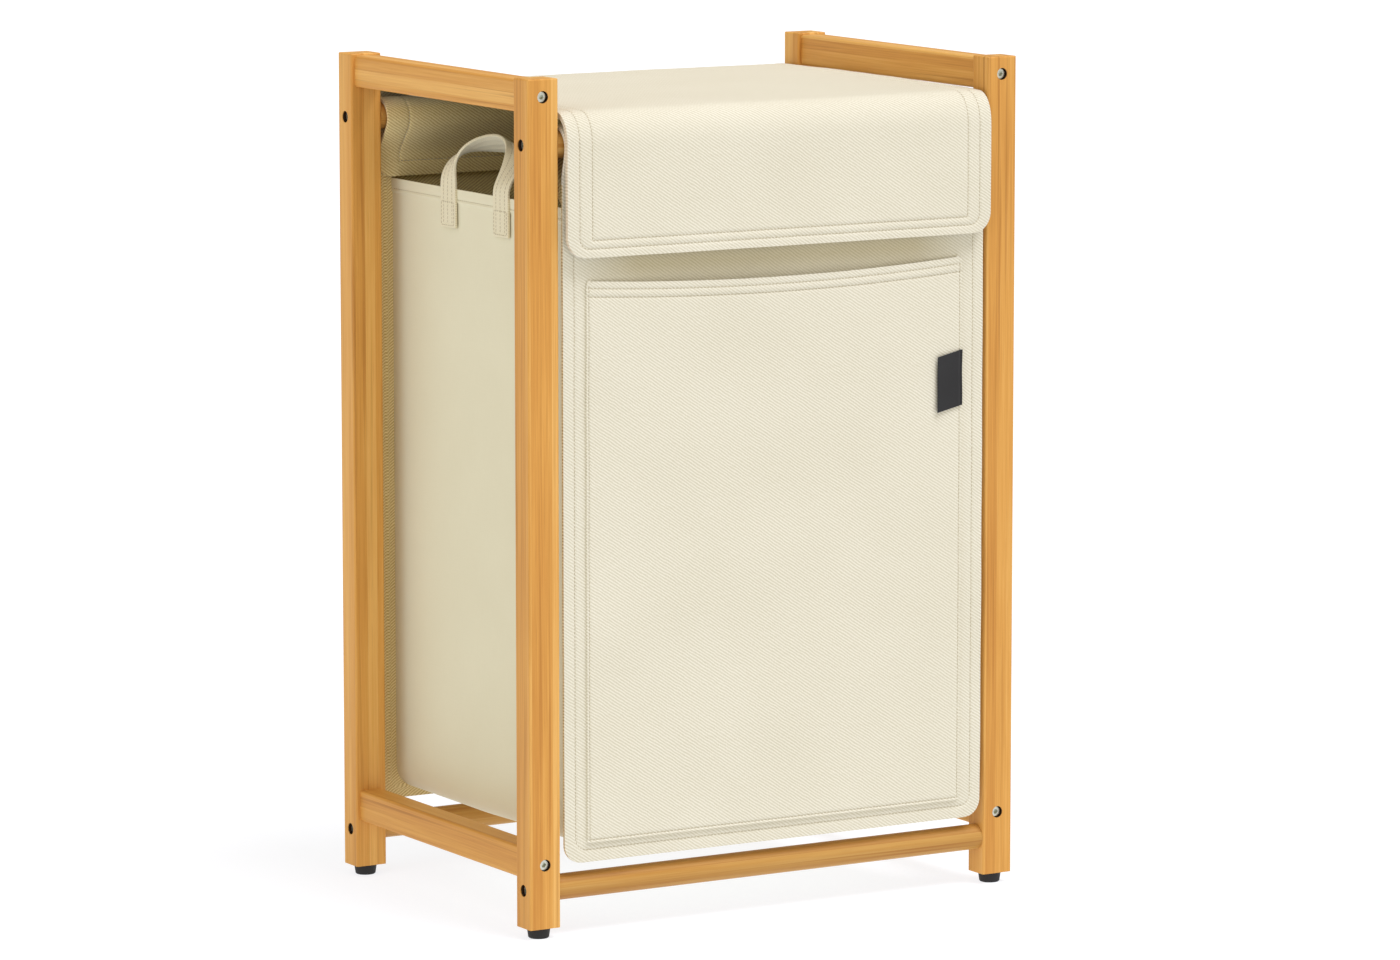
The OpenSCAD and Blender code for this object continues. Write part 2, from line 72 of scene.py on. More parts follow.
ROD = middle("rear_top_dowel")  # axis of the rear top dowel; the front one mirrors it
LOOP_LOW, LOOP_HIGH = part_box("rear_loop")
PANEL_LOW, PANEL_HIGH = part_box("rear_panel")
LID_LOW, LID_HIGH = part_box("lid_top")
FLAP_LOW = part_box("lid_front_flap")[0]
POCKET_LOW, POCKET_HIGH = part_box("front_pocket")
WALL_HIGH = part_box("right_gusset")[1]
FLOOR_LOW, FLOOR_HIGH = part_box("bottom_gusset")
STRAP_LOW, STRAP_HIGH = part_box("right_handle_ends")
SWING = next(j for j in frame["joints"] if j["name"] == "right_handle_swing")

PANEL_W = PANEL_HIGH.x - PANEL_LOW.x
PANEL_T = PANEL_HIGH.y - PANEL_LOW.y
LOOP_R = LOOP_HIGH.y - ROD.y  # outer radius of the canvas round the dowel
LOOP_Z = LOOP_HIGH.z - LOOP_R
LID_W = LID_HIGH.x - LID_LOW.x
FLAP_OUT = -FLAP_LOW.y
WALL_X = FLOOR_HIGH.x  # outer face of the gusset

# ---- sewing measures ----

BORDER_ROW = 10.5 * MM  # outer row of stitches on the panels, in from the edge
TAIL_SIDE_ROW = 21 * MM
TAIL_LOW_ROW = 13 * MM
LID_ROWS = ((11.5 * MM, 7.4 * MM, 9 * MM), (23.5 * MM, 14.4 * MM, 0.5 * MM))  # side, bottom, corner
POCKET_HEM_ROWS = (6 * MM, 13 * MM)
POCKET_EDGE_ROW = 2.2 * MM
STITCH_PITCH = 3.3 * MM
STITCH_LENGTH = 2.5 * MM
THREAD_R = 0.36 * MM
THREAD_SUNK = 0.1 * MM  # how far the thread pulls into the cloth
GROOVE_DEEP = 0.75 * MM
GROOVE_WIDE = 1.3 * MM


# ---- tools for pieces ----


def deselect():
    bpy.ops.object.select_all(action="DESELECT")


def select(piece):
    deselect()
    bpy.context.view_layer.objects.active = piece
    piece.select_set(True)


def apply_modifiers(piece):
    select(piece)
    for modifier in list(piece.modifiers):
        bpy.ops.object.modifier_apply(modifier=modifier.name)


def smooth(piece, angle):
    select(piece)
    bpy.ops.object.shade_smooth_by_angle(angle=math.radians(angle))


def places(length, rows_low=(), rows_high=(), step=9 * MM, spans=()):
    """Grid lines along one side of a cloth: close together at its edges and rows, wide apart elsewhere.

    spans are (from, to, step) stretches that bend and need closer lines.
    """
    near_row = np.array([-3, -1.6, -0.8, -0.3, 0, 0.3, 0.8, 1.6, 3]) * MM
    near_edge = np.array([0, 0.8, 2, 3.6, 5.6]) * MM
    lines = [np.arange(0, length, step), [length], near_edge, length - near_edge]
    lines += [row + near_row for row in rows_low]
    lines += [length - row + near_row for row in rows_high]
    lines += [np.arange(a, b, fine) for a, b, fine in spans]
    wanted = np.unique(np.clip(np.concatenate(lines), 0, length))
    kept = [wanted[0]]
    for line in wanted[1:]:
        if line - kept[-1] > 0.24 * MM:
            kept.append(line)
    kept[-1] = length
    return np.array(kept)


def sides(width, rows):
    """Grid lines across a cloth of that width, measured from its middle."""
    return places(width, rows, rows) - width / 2


class Path:
    """A line in a plane, measured along its length, whose outer side is on its right."""

    def __init__(self, points):
        self.points = np.array(points, float)
        steps = np.linalg.norm(np.diff(self.points, axis=0), axis=1)
        self.at = np.concatenate([[0], np.cumsum(steps)])
        tangents = np.gradient(self.points, self.at, axis=0)
        tangents /= np.linalg.norm(tangents, axis=1)[:, None]
        self.normals = np.stack([tangents[:, 1], -tangents[:, 0]], axis=1)
        self.length = self.at[-1]

    def reach(self, u):
        """Length at which the line first passes a place on the first axis."""
        return float(self.at[np.argmin(np.abs(self.points[:, 0] - u))])

    def lay(self, s, lift):
        """Where a point at length s lies when it is lifted off the line."""
        return [
            np.interp(s, self.at, self.points[:, k]) + lift * np.interp(s, self.at, self.normals[:, k])
            for k in (0, 1)
        ]


def straight(start, end, step=4 * MM):
    start, end = np.array(start), np.array(end)
    count = max(2, int(np.linalg.norm(end - start) / step))
    return [start + (end - start) * i / count for i in range(count)]


def bend(start, end, count=24):
    """Easy S-shaped curve that leaves and arrives along the second axis."""
    lines = []
    for i in range(count):
        share = i / count
        ease = (1 - math.cos(math.pi * share)) / 2
        lines.append(
            np.array([start[0] + (end[0] - start[0]) * ease, start[1] + (end[1] - start[1]) * share])
        )
    return lines


def arc(centre, radii, start, end, count=40, square=2.0):
    """Stretch of an ellipse, from one angle to another in degrees, without its last point.

    A square above 2 fills out the shoulders.
    """
    lines = []
    for i in range(count):
        angle = math.radians(start + (end - start) * i / count)
        c, s = math.cos(angle), math.sin(angle)
        reach = (abs(c) ** square + abs(s) ** square) ** (-1 / square)
        lines.append(np.array([centre[0] + radii[0] * reach * c, centre[1] + radii[1] * reach * s]))
    return lines


def row_distance(x, s, half, side, low, corner):
    """Distance of a point on a cloth from a row of stitches that runs round its lower edge."""
    across = np.abs(x) - (half - side) + corner
    down = low - s + corner
    outside = np.hypot(np.maximum(across, 0), np.maximum(down, 0))
    return outside + np.minimum(np.maximum(across, down), 0) - corner


def groove(distance, deep=GROOVE_DEEP, wide=GROOVE_WIDE):
    return -deep * np.exp(-((distance / wide) ** 2))


def rounded(x, s, half, length, low=0.0, high=0.0):
    """Pulls the grid in at the corners of a cloth so that they are round."""
    inset = np.zeros_like(x)
    for radius, gap in ((low, s), (high, length - s)):
        if radius:
            inside = np.clip(radius - gap, 0, radius)
            inset = np.maximum(inset, radius - np.sqrt(radius**2 - inside**2))
    from_edge = half - np.abs(x)
    fade = np.clip(1 - from_edge / (70 * MM), 0, 1)
    return x - np.sign(x) * inset * fade


def ripple(x, s, size, wave=0.13, turn=0.0):
    """Slow unevenness of hanging cloth."""
    a = 2 * math.pi / wave
    return size * (
        0.5 * np.sin(a * (0.83 * x + 0.31 * s) + turn)
        + 0.3 * np.sin(a * (1.63 * s - 0.57 * x) + 1.7 * turn + 0.9)
        + 0.2 * np.sin(a * (2.3 * x + 1.9 * s) + 2.3 * turn)
    )


def cloth(name, across, along, surface, thickness, trim=None, weight=None, edge=1.3 * MM):
    """A sheet cut on a flat grid, laid by surface(across, along), then made thick with rolled edges."""
    columns, rows = len(across) - 1, len(along) - 1
    deselect()
    bpy.ops.mesh.primitive_grid_add(x_subdivisions=columns, y_subdivisions=rows, size=1)
    piece = bpy.context.object
    piece.name = name
    mesh = piece.data
    count = len(mesh.vertices)
    flat = np.zeros(count * 3)
    mesh.vertices.foreach_get("co", flat)
    flat = flat.reshape(-1, 3)
    i = np.rint((flat[:, 0] + 0.5) * columns).astype(int)
    j = np.rint((flat[:, 1] + 0.5) * rows).astype(int)
    x, s = across[i], along[j]
    if trim:
        x = trim(x, s)
    mesh.vertices.foreach_set("co", np.stack(surface(x, s), axis=1).ravel())
    corner = np.zeros(len(mesh.loops), int)
    mesh.loops.foreach_get("vertex_index", corner)
    mesh.uv_layers[0].name = "cut"
    mesh.uv_layers[0].data.foreach_set("uv", np.stack([x, s], axis=1)[corner].ravel())
    mesh.update()
    solid = piece.modifiers.new("thickness", "SOLIDIFY")
    solid.thickness = thickness
    solid.offset = -1
    if weight:
        group = piece.vertex_groups.new(name="thickness")
        for index, share in enumerate(weight(x, s)):
            group.add([index], float(share), "REPLACE")
        solid.vertex_group = group.name
    roll = piece.modifiers.new("edge", "BEVEL")
    roll.width = min(edge, thickness * 0.45)
    roll.segments = 3
    roll.limit_method = "ANGLE"
    roll.angle_limit = math.radians(60)
    apply_modifiers(piece)
    smooth(piece, 50)
    return piece


def one_stitch():
    """A single thread loop lying along X: half a unit long each way and one unit thick each way."""
    deselect()
    bpy.ops.mesh.primitive_uv_sphere_add(segments=6, ring_count=5, radius=1)
    seed = bpy.context.object
    bpy.ops.object.mode_set(mode="EDIT")
    bpy.ops.transform.rotate(value=math.pi / 2, orient_axis="Y", center_override=(0, 0, 0))
    bpy.ops.object.mode_set(mode="OBJECT")
    points = np.array([v.co for v in seed.data.vertices])
    faces = [list(p.vertices) for p in seed.data.polygons]
    bpy.data.objects.remove(seed)
    points[:, 0] *= 0.5
    return points, faces


STITCH_POINTS, STITCH_FACES = one_stitch()


def stitching(name, rows, surface):
    """Rows of thread on a cloth; each row is a line of flat places that the needle follows."""
    starts, ends = [], []
    for row in rows:
        row = np.array(row)
        run = np.concatenate([[0], np.cumsum(np.linalg.norm(np.diff(row, axis=0), axis=1))])
        first = np.arange(STITCH_PITCH * 0.3, run[-1] - STITCH_LENGTH, STITCH_PITCH)
        for found, at in ((starts, first), (ends, first + STITCH_LENGTH)):
            found.append(np.stack([np.interp(at, run, row[:, k]) for k in (0, 1)], axis=1))
    a, b = np.concatenate(starts), np.concatenate(ends)
    m = (a + b) / 2
    probe = 0.4 * MM
    pa, pb, pm = (np.stack(surface(q[:, 0], q[:, 1]), axis=1) for q in (a, b, m))
    px = np.stack(surface(m[:, 0] + probe, m[:, 1]), axis=1)
    ps = np.stack(surface(m[:, 0], m[:, 1] + probe), axis=1)
    normal = np.cross(px - pm, ps - pm)
    normal /= np.linalg.norm(normal, axis=1)[:, None]
    run = pb - pa
    side = np.cross(normal, run)
    side /= np.linalg.norm(side, axis=1)[:, None]
    centre = (pa + pb) / 2 + normal * (THREAD_R * 0.5 - THREAD_SUNK)
    points = (
        centre[:, None, :]
        + STITCH_POINTS[None, :, 0, None] * run[:, None, :]
        + STITCH_POINTS[None, :, 1, None] * side[:, None, :] * THREAD_R
        + STITCH_POINTS[None, :, 2, None] * normal[:, None, :] * THREAD_R
    ).reshape(-1, 3)
    size = len(STITCH_POINTS)
    faces = [[k * size + v for v in face] for k in range(len(centre)) for face in STITCH_FACES]
    mesh = bpy.data.meshes.new(name)
    mesh.from_pydata(points.tolist(), [], faces)
    mesh.validate()
    piece = bpy.data.objects.new(name, mesh)
    bpy.context.scene.collection.objects.link(piece)
    select(piece)
    bpy.ops.object.mode_set(mode="EDIT")
    bpy.ops.mesh.select_all(action="SELECT")
    bpy.ops.mesh.normals_make_consistent(inside=False)
    bpy.ops.object.mode_set(mode="OBJECT")
    smooth(piece, 60)
    return piece


def lower_row(half, top, side, low, corner, count=8):
    """Flat line of a row that runs down one side of a cloth, round its lower edge and up the other."""
    x = half - side
    line = [(-x, top)]
    for centre, start in (((-x + corner, low + corner), 180), ((x - corner, low + corner), 270)):
        for i in range(count + 1):
            angle = math.radians(start + 90 * i / count)
            line.append((centre[0] + corner * math.cos(angle), centre[1] + corner * math.sin(angle)))
    return line + [(x, top)]


# ---- materials ----


class Value:
    """A shader socket; using it in an expression adds the Math nodes."""

    def __init__(self, tree, socket):
        self.tree, self.socket = tree, socket

    def maths(self, operation, *items):
        node = self.tree.nodes.new("ShaderNodeMath")
        node.operation = operation
        for slot, item in zip(node.inputs, items):
            if isinstance(item, Value):
                self.tree.links.new(item.socket, slot)
            else:
                slot.default_value = item
        return Value(self.tree, node.outputs[0])

    def __add__(self, other):
        return self.maths("ADD", self, other)

    __radd__ = __add__

    def __sub__(self, other):
        return self.maths("SUBTRACT", self, other)

    def __rsub__(self, other):
        return self.maths("SUBTRACT", other, self)

    def __mul__(self, other):
        return self.maths("MULTIPLY", self, other)

    __rmul__ = __mul__

    def __truediv__(self, other):
        return self.maths("DIVIDE", self, other)

    def sin(self):
        return self.maths("SINE", self)

    def abs(self):
        return self.maths("ABSOLUTE", self)

    def floor(self):
        return self.maths("FLOOR", self)

    def fract(self):
        return self.maths("FRACT", self)

    def over(self, other):
        return self.maths("GREATER_THAN", self, other)

    def clamp(self):
        return self.maths("MINIMUM", self.maths("MAXIMUM", self, 0.0), 1.0)


class Finish:
    """One procedural material."""

    def __init__(self, name, **constants):
        self.material = bpy.data.materials.new(name)
        self.material.use_nodes = True
        self.tree = self.material.node_tree
        self.shader = self.tree.nodes["Principled BSDF"]
        for socket, value in constants.items():
            self.shader.inputs[socket.replace("_", " ")].default_value = value

    def node(self, kind, settings=None, inputs=None, output=0):
        """Any node but Math: its settings are set first, then the values or links of its sockets."""
        node = self.tree.nodes.new(kind)
        for key, value in (settings or {}).items():
            if key == "stops":
                ramp = node.color_ramp
                while len(ramp.elements) < len(value):
                    ramp.elements.new(0.5)
                for element, (at, colour) in zip(ramp.elements, value):
                    element.position, element.color = at, (*colour, 1)
            else:
                setattr(node, key, value)
        for key, value in (inputs or {}).items():
            if isinstance(value, Value):
                self.tree.links.new(value.socket, node.inputs[key])
            else:
                node.inputs[key].default_value = value
        return Value(self.tree, node.outputs[output])

    def where(self):
        """X, Y and Z of the point, in metres in the object's frame."""
        vector = self.node("ShaderNodeTexCoord", output="Object")
        split = self.node("ShaderNodeSeparateXYZ", inputs={"Vector": vector})
        return [Value(self.tree, split.socket.node.outputs[k]) for k in range(3)]

    def cut(self):
        """Place on the flat cloth, in metres."""
        vector = self.node("ShaderNodeUVMap", {"uv_map": "cut"})
        split = self.node("ShaderNodeSeparateXYZ", inputs={"Vector": vector})
        return [Value(self.tree, split.socket.node.outputs[k]) for k in range(2)]

    def vector(self, x, y, z=0.0):
        return self.node("ShaderNodeCombineXYZ", inputs={"X": x, "Y": y, "Z": z})

    def noise(self, vector, scale, detail=2.0, rough=0.5):
        inputs = {"Vector": vector, "Scale": scale, "Detail": detail, "Roughness": rough}
        return self.node("ShaderNodeTexNoise", inputs=inputs, output="Fac")

    def chance(self, vector):
        return self.node("ShaderNodeTexWhiteNoise", inputs={"Vector": vector}, output="Value")

    def ramp(self, value, *stops):
        return self.node("ShaderNodeValToRGB", {"stops": stops}, {"Fac": value})

    def mix(self, share, a, b, how="MIX"):
        settings = {"data_type": "RGBA", "blend_type": how}
        first, second = (colour if isinstance(colour, Value) else (*colour, 1) for colour in (a, b))
        return self.node("ShaderNodeMix", settings, {0: share, 6: first, 7: second}, output=2)

    def bump(self, height, distance, strength=1.0):
        inputs = {"Height": height, "Distance": distance, "Strength": strength}
        return self.node("ShaderNodeBump", inputs=inputs, output="Normal")

    def feed(self, **sockets):
        for socket, value in sockets.items():
            self.tree.links.new(value.socket, self.shader.inputs[socket.replace("_", " ")])
        return self.material


ALONG_X, ALONG_Y, ALONG_Z = 0, 1, 2
SKIN = 0.7 * MM  # depth inside a leg's faces at which a bore's wall begins
# painted shade: the walls of the bolt bores in the legs are painted near-black
BORE_PAINTED_SHADE = (0.03, 0.012, 0.004)
INSIDE_SHADE_TONES = ((0.52, 0.37, 0.14), (0.95, 0.83, 0.46))  # painted shade: browner, darker canvas on the inside of the panels and on their tails
FLAP_SHADE = (0.62, 0.52, 0.26)  # painted shadow of the flap on the front panel, multiplied into its colour


def bore_shade_mask(xyz):
    """Share of the painted shade on a leg: 1 on the walls of the holes inside it and 0 on its outer faces.
    """
    low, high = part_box("front_left_leg")
    x, y, z = xyz
    spans = ((x.abs(), -high.x, -low.x), (y.abs(), -high.y, -low.y), (z, low.z + 4 * MM, high.z - 4 * MM))
    inside = 1.0
    for place, first, last in spans:
        inside = (place - (first + SKIN)).over(0.0) * ((last - SKIN) - place).over(0.0) * inside
    return inside


def bamboo(name, grain, strip, shift, tone=1.0):
    """Laminated bamboo under satin lacquer.

    grain is the axis number that its fibres run along, strip the size of its strips across the grain,
    shift where they start, and tone darkens it.
    """
    f = Finish(name, Specular_IOR_Level=0.2)
    xyz = f.where()
    along = xyz[grain]
    a, b = [xyz[k] for k in range(3) if k != grain]
    strip_a = (a / strip[0] + shift[0]).floor()
    strip_b = (b / strip[1] + shift[1]).floor()
    luck = f.chance(f.vector(strip_a, strip_b, 3.7))
    luck_two = f.chance(f.vector(strip_a, strip_b, 9.1))
    fibres = f.noise(f.vector(a * 620, b * 620, along * 9 + luck * 40), 1.0, 3.0, 0.6)
    threads = f.noise(f.vector(a * 2600, b * 2600, along * 22 + luck * 13), 1.0, 2.0, 0.6)
    clouds = f.noise(f.vector(a * 45, b * 45, along * 5 + luck * 7), 1.0, 2.0, 0.5)
    shade = luck * 0.34 + fibres * 0.56 + clouds * 0.35 - 0.12
    body = f.ramp(
        shade,
        (0.16, (0.52 * tone, 0.215 * tone, 0.04 * tone)),
        (0.46, (0.68 * tone, 0.335 * tone, 0.075 * tone)),
        (0.74, (0.80 * tone, 0.46 * tone, 0.135 * tone)),
    )
    flecks = (threads - 0.62) * 7.0
    flecked = f.mix(flecks.clamp() * 0.42, body, (0.30, 0.115, 0.028))
    streaks = f.noise(f.vector(a * 210, b * 210, along * 3.2 + luck_two * 23), 1.0, 2.0, 0.55)
    streak = ((streaks - 0.56) * 6.0).clamp()
    joint_a = (1 - ((a / strip[0] + shift[0]).fract() - 0.5).abs() * 2.0)
    glue = (1 - joint_a * 30.0).clamp()
    lined = f.mix((streak * 0.55 + glue * 0.34).clamp(), flecked, (0.34, 0.115, 0.018))
    # the walls of the bores in the legs get the painted shade
    colour = f.mix(bore_shade_mask(xyz), lined, BORE_PAINTED_SHADE) if grain == ALONG_Z else lined
    rough = 0.36 + fibres * 0.16
    height = threads * 0.5 + fibres * 0.35 - glue * 0.5
    return f.feed(Base_Color=colour, Roughness=rough, Normal=f.bump(height, 0.09 * MM, 0.55))


def flap_shadow_share(x, y, z):
    """Share of the flap's painted shadow on the front panel, between the pocket's mouth and the flap."""
    up = ((z - (POCKET_HIGH.z - 14 * MM)) / (24 * MM)).clamp()
    across = ((PANEL_W / 2 - x.abs() - 20 * MM) / (50 * MM)).clamp()
    return up * across * (0.0 - y).over(0.0) * 0.5


def twill(name, light, dark, pitch=2.3 * MM, lean=33, deep=0.16 * MM, sheen=0.25, shade_from=None):
    """Canvas whose ribs run down to the right, each rib broken by the threads that cross it.

    The last argument is for the panels: past that place on the cloth, and all over its inner face, it is
    painted browner and darker as shade of the bag's inside, and the front panel gets the flap's painted
    shadow.
    """
    f = Finish(name, Sheen_Weight=sheen, Sheen_Roughness=0.5, Specular_IOR_Level=0.18)
    x, s = f.cut()
    angle = math.radians(lean)
    waver = f.noise(f.vector(x * 90, s * 90), 1.0, 2.0)
    ribs = ((x * math.sin(angle) + s * math.cos(angle)) / pitch + waver * 0.75) * (2 * math.pi)
    rib = ribs.sin() * 0.5 + 0.5
    crossing = ((x / (pitch * 0.62) - s / (pitch * 1.15)) * (2 * math.pi)).sin() * 0.5 + 0.5
    slub = f.noise(f.vector(x * 900, s * 260), 1.0, 2.0, 0.6)
    fuzz = f.noise(f.vector(x * 3200, s * 3200), 1.0, 2.0, 0.6)
    cloud = f.noise(f.vector(x * 9, s * 9, 2.0), 1.0, 3.0)
    height = rib * 0.50 + crossing * 0.26 + fuzz * 0.42 + slub * 0.24
    tone = (height * 0.9 + cloud * 0.16 + slub * 0.12 - 0.13).clamp()
    colour = f.mix(tone, dark, light)
    if shade_from is not None:
        wx, wy, wz = f.where()
        inner = ((PANEL_LOW.y + PANEL_T / 2) - wy.abs()).over(0.0) * (PANEL_HIGH.z - wz).over(0.0)
        turned = ((s - shade_from) / (20 * MM)).clamp()
        # painted shade of the bag's inside: browner, darker colour on the panels' inner face and tails
        inside_shade = f.mix((tone * 1.5 - 0.45).clamp(), *INSIDE_SHADE_TONES)
        # the flap's painted shadow on the front panel
        shaded = f.mix(1.0, colour, FLAP_SHADE, "MULTIPLY")
        colour = f.mix(flap_shadow_share(wx, wy, wz), colour, shaded)
        colour = f.mix((inner + turned).clamp(), colour, inside_shade)
    rough = 0.95 - rib * 0.1
    return f.feed(Base_Color=colour, Roughness=rough, Normal=f.bump(height, deep, 0.8))


def plain_weave(name, light, dark, pitch=0.9 * MM, deep=0.07 * MM, sheen=0.15):
    """Fine, smooth lining cloth."""
    f = Finish(name, Sheen_Weight=sheen, Sheen_Roughness=0.5, Specular_IOR_Level=0.15)
    x, s = f.cut()
    turn = 2 * math.pi / pitch
    over = (x * turn).sin() * (s * turn).sin() * 0.5 + 0.5
    slub = f.noise(f.vector(x * 60, s * 1400), 1.0, 2.0, 0.6)
    cross_slub = f.noise(f.vector(x * 1400, s * 60, 5.0), 1.0, 2.0, 0.6)
    cloud = f.noise(f.vector(x * 12, s * 12, 1.0), 1.0, 3.0)
    height = over * 0.5 + slub * 0.3 + cross_slub * 0.3
    colour = f.mix((cloud * 0.55 + slub * 0.3 + cross_slub * 0.3 - 0.1).clamp(), dark, light)
    rough = 0.85 + over * 0.1
    return f.feed(Base_Color=colour, Roughness=rough, Normal=f.bump(height, deep, 0.6))


def thread_finish():
    f = Finish("sewing_thread", Sheen_Weight=0.2, Specular_IOR_Level=0.3)
    x, y, z = f.where()
    twist = ((x + y * 0.7 + z) * 5200.0).sin() * 0.5 + 0.5
    fray = f.noise(f.vector(x * 2600, y * 2600, z * 2600), 1.0, 2.0)
    colour = f.mix(fray, (0.42, 0.36, 0.23), (0.58, 0.52, 0.38))
    return f.feed(Base_Color=colour, Roughness=0.6 + fray * 0.3, Normal=f.bump(twist, 0.05 * MM, 0.5))


def zinc_finish():
    """Bright zinc plate with a yellow-green cast, blotchy tone and a fine, uneven roughness."""
    f = Finish("zinc_plate", Metallic=1.0)
    x, y, z = f.where()
    grime = f.noise(f.vector(x * 420, y * 420, z * 420), 1.0, 3.0)
    fine = f.noise(f.vector(x * 2600, y * 2600, z * 2600), 1.0, 2.0)
    colour = f.mix(grime, (0.52, 0.54, 0.46), (0.80, 0.82, 0.74))
    return f.feed(Base_Color=colour, Roughness=0.24 + fine * 0.22, Normal=f.bump(fine, 0.02 * MM, 0.4))


def rubber_finish():
    f = Finish("foot_rubber", Specular_IOR_Level=0.35)
    x, y, z = f.where()
    grain = f.noise(f.vector(x * 1500, y * 1500, z * 1500), 1.0, 3.0)
    dust = f.noise(f.vector(x * 80, y * 80, z * 80), 1.0, 3.0)
    colour = f.mix(dust * 0.7, (0.008, 0.008, 0.009), (0.035, 0.034, 0.032))
    return f.feed(Base_Color=colour, Roughness=0.5 + dust * 0.2, Normal=f.bump(grain, 0.05 * MM, 0.5))


def label_finish():
    """Close black satin ribbon, with no marks on it."""
    f = Finish("label_satin", Sheen_Weight=0.1, Specular_IOR_Level=0.3)
    x, s = f.cut()
    ribs = (s * (2 * math.pi / (0.5 * MM))).sin() * 0.5 + 0.5
    warp = f.noise(f.vector(x * 2400, s * 300), 1.0, 2.0)
    colour = f.mix(warp, (0.006, 0.006, 0.007), (0.02, 0.02, 0.022))
    return f.feed(Base_Color=colour, Roughness=0.45 + warp * 0.2, Normal=f.bump(ribs + warp, 0.04 * MM, 0.5))


def tape_finish():
    """Hook-and-loop tape: a nap of tiny loops."""
    f = Finish("tape_nap", Sheen_Weight=0.4, Specular_IOR_Level=0.2)
    x, s = f.cut()
    nap = f.noise(f.vector(x * 1900, s * 1900), 1.0, 3.0, 0.7)
    colour = f.mix(nap, (0.60, 0.57, 0.46), (0.84, 0.81, 0.70))
    return f.feed(Base_Color=colour, Roughness=0.9 + nap * 0.08, Normal=f.bump(nap, 0.25 * MM, 0.8))


def beech_finish():
    f = Finish("beech", Specular_IOR_Level=0.2)
    x, y, z = f.where()
    grain = f.noise(f.vector(x * 900, y * 40, z * 900), 1.0, 3.0)
    colour = f.mix(grain, (0.50, 0.31, 0.15), (0.68, 0.47, 0.27))
    return f.feed(Base_Color=colour, Roughness=0.6 + grain * 0.2, Normal=f.bump(grain, 0.05 * MM, 0.4))


BAMBOO = {
    ALONG_X: bamboo("bamboo_dowel", ALONG_X, strip=(9 * MM, 7 * MM), shift=(0.15, 0.35), tone=0.72),
    ALONG_Y: bamboo("bamboo_rail", ALONG_Y, strip=(9.6 * MM, 9.2 * MM), shift=(0.3, 0.2)),
    ALONG_Z: bamboo("bamboo_leg", ALONG_Z, strip=(9.8 * MM, 12 * MM), shift=(0.25, 0.4)),
}
CANVAS_TONES = ((0.86, 0.83, 0.72), (0.46, 0.41, 0.25))
# Length along the panels' cloth at which it passes over the dowel and turns in
TURN_IN = PANEL_HIGH.z - PANEL_LOW.z + (LOOP_Z - PANEL_HIGH.z) + LOOP_R * math.pi / 2
CANVAS = twill("canvas_twill", *CANVAS_TONES)
# panel cloth with painted shade on its inside and the flap's painted shadow on the front
PANEL_CANVAS = twill("panel_twill", *CANVAS_TONES, shade_from=TURN_IN)
LINING = plain_weave("lining_weave", (0.80, 0.765, 0.58), (0.70, 0.66, 0.48))
WEBBING = twill("webbing", (0.84, 0.79, 0.60), (0.62, 0.55, 0.36), pitch=1.7 * MM, deep=0.12 * MM)
THREAD = thread_finish()
ZINC = zinc_finish()
RUBBER = rubber_finish()
LABEL = label_finish()
TAPE = tape_finish()
BEECH = beech_finish()


def paint(piece, material):
    piece.data.materials.clear()
    piece.data.materials.append(material)


def dress(piece, body, material, replaces=()):
    """Gives a finished piece its material and hides the solids it stands for; a body given by name is
    attached, and with any other body the piece only has its placing baked into its mesh.
    """
    paint(piece, material)
    if isinstance(body, str):
        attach(piece, body)
    else:
        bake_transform(piece)
    if replaces:
        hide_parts(*replaces)


# ---- frame, fasteners and feet keep their solids ----


def paint_frame():
    kinds = (
        (("leg",), BAMBOO[ALONG_Z]),
        (("rail",), BAMBOO[ALONG_Y]),
        (("dowel",), BAMBOO[ALONG_X]),
        (("bolts", "inserts", "screws"), ZINC),
        (("foot",), RUBBER),
        (("pins",), BEECH),
    )
    for name, solid in frame["nodes"].items():
        for endings, material in kinds:
            if name.endswith(endings):
                for slot in solid.material_slots:
                    slot.material = material
                smooth(solid, 35)


# ---- bag panels with their loops and tails ----


def panel_path():
    """Outer face of a panel: up the leg side, round the dowel and down inside the bag."""
    out = PANEL_HIGH.y
    bend_from = PANEL_HIGH.z
    tail_bend_end = LOOP_LOW.z + TAPE_REACH
    return Path(
        straight((out, PANEL_LOW.z), (out, bend_from))
        + bend((out, bend_from), (ROD.y + LOOP_R, LOOP_Z))
        + arc((ROD.y, LOOP_Z), (LOOP_R, LOOP_R), 0, 180)
        + bend((ROD.y - LOOP_R, LOOP_Z), (TAIL_FACE, tail_bend_end))
        + straight((TAIL_FACE, tail_bend_end), (TAIL_FACE, LOOP_LOW.z))
        + [np.array((TAIL_FACE, LOOP_LOW.z))]
    )


TAPES_T = 4 * MM  # hook and loop tape together
TAIL_T = 3.5 * MM
TAIL_FACE = PANEL_LOW.y - TAPES_T - TAIL_T
TAPE_REACH = 16 * MM  # straight stretch of the tail that holds the tape
PANEL_PATH = panel_path()
PANEL_HALF = PANEL_W / 2
STRAIGHT_END = PANEL_HIGH.z - PANEL_LOW.z
TAIL_ROUND = 14 * MM
PANEL_ROUND = 16 * MM
BORDER_ROUND = PANEL_ROUND - 6 * MM
SQUARE_ROUND = 0.5 * MM  # rows of stitches that turn a sharp corner


def front_drift(x, z):
    """Slight unevenness of the front, shared by the panel and the pocket on it."""
    return ripple(x, z, 0.5 * MM, 0.21, 0.6)


